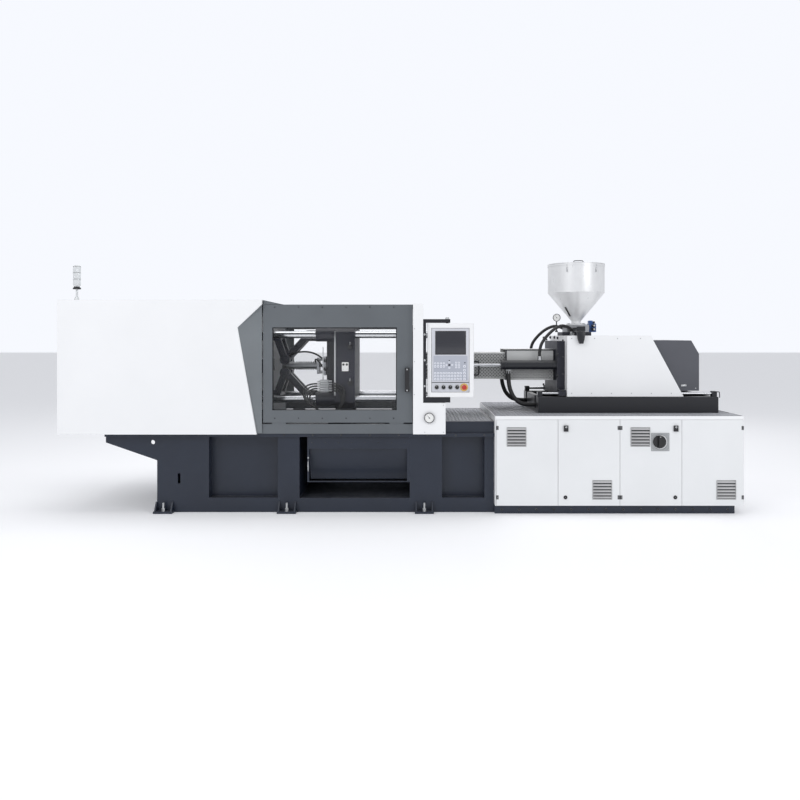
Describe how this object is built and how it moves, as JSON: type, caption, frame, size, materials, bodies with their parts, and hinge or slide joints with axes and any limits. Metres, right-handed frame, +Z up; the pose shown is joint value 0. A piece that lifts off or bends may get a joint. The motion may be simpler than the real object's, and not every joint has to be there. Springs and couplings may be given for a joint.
{
  "type": "injection moulding machine",
  "caption": "Horizontal toggle-clamp injection moulding machine: white-covered clamp with sliding guard gates, swivel panel, hopper-fed injection unit over an electrical cabinet.",
  "frame": {"origin": "on the floor, in the middle of the machine's length and width", "axes": "+X along the machine towards the injection end, -Y towards the operator, +Z up"},
  "size_m": [5.84, 1.45, 2.2],
  "materials": {
    "navy_paint": "satin powder coat",
    "white_paint": "fine textured powder coat",
    "slate_paint": "satin powder coat",
    "chequer_plate": "raised chequer pattern",
    "platen_paint": "painted casting",
    "chrome": "ground and plated",
    "machine_grey": "satin paint",
    "link_steel": "machined",
    "clear_pane": "clear guard pane",
    "black_plastic": "moulded",
    "black_paint": "satin paint",
    "guard_grey": "satin paint",
    "cover_grey": "satin powder coat",
    "red_plastic": "glossy",
    "beacon_lens": "frosted lens",
    "hopper_steel": "polished stainless",
    "barrel_steel": "nitrided",
    "hose_rubber": "matt"
  },
  "bodies": {
    "frame": {"clamp_bed": "navy_paint", "levelling_feet": "navy_paint", "injection_bed": "navy_paint", "cabinet_shell": "white_paint", "deck_plates": "chequer_plate", "pump_motor": "machine_grey", "fixed_platen": "platen_paint", "tie_bars": "chrome", "tail_platen": "platen_paint", "clamp_cylinder": "machine_grey", "front_cover": "white_paint", "clamp_hood": "white_paint", "gate_wedge": "slate_paint", "gate_rails": "slate_paint", "column_covers": "white_paint", "panel_bracket": "black_paint", "warning_beacon": "beacon_lens", "injection_base": "black_paint", "carriage_rods": "chrome"},
    "moving_platen": {"moving_platen": "platen_paint", "ejector_cylinder": "machine_grey"},
    "crosshead": {"crosshead": "machine_grey"},
    "front_link_upper": {"front_link_upper": "link_steel"},
    "front_link_lower": {"front_link_lower": "link_steel"},
    "rear_link_upper": {"rear_link_upper": "link_steel"},
    "rear_link_lower": {"rear_link_lower": "link_steel"},
    "ejector_plate": {"ejector_plate": "link_steel"},
    "front_gate": {"front_gate": "slate_paint", "front_window": "clear_pane", "front_handle": "black_plastic"},
    "rear_gate": {"rear_gate": "slate_paint", "rear_window": "clear_pane"},
    "outlet_guard": {"outlet_guard": "guard_grey"},
    "panel": {"panel_housing": "white_paint"},
    "selector_1": {"selector_1": "black_plastic"},
    "selector_2": {"selector_2": "black_plastic"},
    "selector_3": {"selector_3": "black_plastic"},
    "selector_4": {"selector_4": "black_plastic"},
    "stop_button": {"stop_button": "red_plastic"},
    "door_1": {"cabinet_door_1": "white_paint"},
    "door_2": {"cabinet_door_2": "white_paint"},
    "door_3": {"cabinet_door_3": "white_paint"},
    "door_4": {"cabinet_door_4": "white_paint"},
    "latch_2": {"door_latch_2": "black_plastic"},
    "latch_3": {"door_latch_3": "black_plastic"},
    "main_switch": {"main_switch": "black_plastic"},
    "carriage": {"injection_housing": "black_paint", "barrel": "barrel_steel", "barrel_guard": "guard_grey", "carriage_cylinders": "black_paint", "unit_cover": "white_paint", "motor_cover": "cover_grey", "feed_block": "hopper_steel", "hopper": "hopper_steel", "carriage_hoses": "hose_rubber"},
    "thrust_plate": {"thrust_plate": "black_paint"},
    "injection_screw": {"injection_screw": "link_steel"},
    "nozzle_guard": {"nozzle_guard": "guard_grey"},
    "feed_slide": {"feed_slide": "black_paint"},
    "hopper_lid": {"hopper_lid": "hopper_steel"}
  },
  "joints": [
    {"name": "platen_close", "type": "slide", "parent": "frame", "child": "moving_platen", "axis": [1, 0, 0], "range_m": [0, 0.25]},
    {"name": "crosshead_drive", "type": "slide", "parent": "frame", "child": "crosshead", "axis": [1, 0, 0], "range_m": [0, 0.1501]},
    {"name": "upper_front_link", "type": "hinge", "parent": "moving_platen", "child": "front_link_upper", "pos_m": [-0.865, 0, 1.52], "axis": [0, 1, 0], "range_deg": [0, 47.2]},
    {"name": "lower_front_link", "type": "hinge", "parent": "moving_platen", "child": "front_link_lower", "pos_m": [-0.865, 0, 0.96], "axis": [0, -1, 0], "range_deg": [0, 47.2]},
    {"name": "upper_rear_link", "type": "hinge", "parent": "frame", "child": "rear_link_upper", "pos_m": [-1.14972, 0, 1.52], "axis": [0, -1, 0], "range_deg": [0, 70.4]},
    {"name": "lower_rear_link", "type": "hinge", "parent": "frame", "child": "rear_link_lower", "pos_m": [-1.14972, 0, 0.96], "axis": [0, 1, 0], "range_deg": [0, 70.4]},
    {"name": "ejector_stroke", "type": "slide", "parent": "moving_platen", "child": "ejector_plate", "axis": [1, 0, 0], "range_m": [0, 0.1]},
    {"name": "front_gate_slide", "type": "slide", "parent": "frame", "child": "front_gate", "axis": [-1, 0, 0], "range_m": [0, 1.05]},
    {"name": "rear_gate_slide", "type": "slide", "parent": "frame", "child": "rear_gate", "axis": [-1, 0, 0], "range_m": [0, 1.05]},
    {"name": "outlet_guard_hinge", "type": "hinge", "parent": "frame", "child": "outlet_guard", "pos_m": [0.0797, -0.5905, 0.45], "axis": [0, 0, 1], "range_deg": [0, 110]},
    {"name": "panel_swivel", "type": "hinge", "parent": "frame", "child": "panel", "pos_m": [0.4, -0.645, 1.3], "axis": [0, 0, 1], "range_deg": [-40, 40]},
    {"name": "selector_1_turn", "type": "hinge", "parent": "panel", "child": "selector_1", "pos_m": [0.308, -0.69, 1.083], "axis": [0, 1, 0], "range_deg": [-60, 60]},
    {"name": "selector_2_turn", "type": "hinge", "parent": "panel", "child": "selector_2", "pos_m": [0.3657, -0.69, 1.083], "axis": [0, 1, 0], "range_deg": [-60, 60]},
    {"name": "selector_3_turn", "type": "hinge", "parent": "panel", "child": "selector_3", "pos_m": [0.4234, -0.69, 1.083], "axis": [0, 1, 0], "range_deg": [-60, 60]},
    {"name": "selector_4_turn", "type": "hinge", "parent": "panel", "child": "selector_4", "pos_m": [0.4811, -0.69, 1.083], "axis": [0, 1, 0], "range_deg": [-60, 60]},
    {"name": "stop_press", "type": "slide", "parent": "panel", "child": "stop_button", "axis": [0, 1, 0], "range_m": [0, 0.006], "stiffness_N_per_m": 900},
    {"name": "door_1_hinge", "type": "hinge", "parent": "frame", "child": "door_1", "pos_m": [0.814, -0.683, 0.44], "axis": [0, 0, -1], "range_deg": [0, 110]},
    {"name": "door_2_hinge", "type": "hinge", "parent": "frame", "child": "door_2", "pos_m": [1.867, -0.683, 0.44], "axis": [0, 0, 1], "range_deg": [0, 85]},
    {"name": "door_3_hinge", "type": "hinge", "parent": "frame", "child": "door_3", "pos_m": [1.867, -0.683, 0.44], "axis": [0, 0, -1], "range_deg": [0, 85]},
    {"name": "door_4_hinge", "type": "hinge", "parent": "frame", "child": "door_4", "pos_m": [2.92, -0.683, 0.44], "axis": [0, 0, 1], "range_deg": [0, 110]},
    {"name": "latch_2_turn", "type": "hinge", "parent": "door_2", "child": "latch_2", "pos_m": [1.407, -0.68, 0.732], "axis": [0, 1, 0], "range_deg": [0, 90]},
    {"name": "latch_3_turn", "type": "hinge", "parent": "door_3", "child": "latch_3", "pos_m": [2.341, -0.68, 0.732], "axis": [0, -1, 0], "range_deg": [0, 90]},
    {"name": "main_switch_turn", "type": "hinge", "parent": "door_3", "child": "main_switch", "pos_m": [2.202, -0.68, 0.619], "axis": [0, 1, 0], "range_deg": [0, 90]},
    {"name": "carriage_travel", "type": "slide", "parent": "frame", "child": "carriage", "axis": [1, 0, 0], "range_m": [0, 0.25]},
    {"name": "injection_stroke", "type": "slide", "parent": "carriage", "child": "thrust_plate", "axis": [1, 0, 0], "range_m": [0, 0.15]},
    {"name": "screw_turn", "type": "hinge", "parent": "thrust_plate", "child": "injection_screw", "pos_m": [1, 0, 1.24], "axis": [1, 0, 0], "continuous": true},
    {"name": "nozzle_guard_slide", "type": "slide", "parent": "frame", "child": "nozzle_guard", "axis": [1, 0, 0], "range_m": [0, 0.18]},
    {"name": "feed_slide_push", "type": "slide", "parent": "carriage", "child": "feed_slide", "axis": [0, 1, 0], "range_m": [0, 0.084]},
    {"name": "hopper_lid_hinge", "type": "hinge", "parent": "carriage", "child": "hopper_lid", "pos_m": [1.645, 0.264, 2.1823], "axis": [-1, 0, 0], "range_deg": [0, 100]}
  ],
  "couplings": [
    {"joint": "crosshead_drive", "follows": "platen_close", "ratio": 0.6},
    {"joint": "upper_front_link", "follows": "platen_close", "rad_per_m": 3.2827},
    {"joint": "lower_front_link", "follows": "platen_close", "rad_per_m": 3.2827},
    {"joint": "upper_rear_link", "follows": "platen_close", "rad_per_m": 4.8926},
    {"joint": "lower_rear_link", "follows": "platen_close", "rad_per_m": 4.8926}
  ]
}
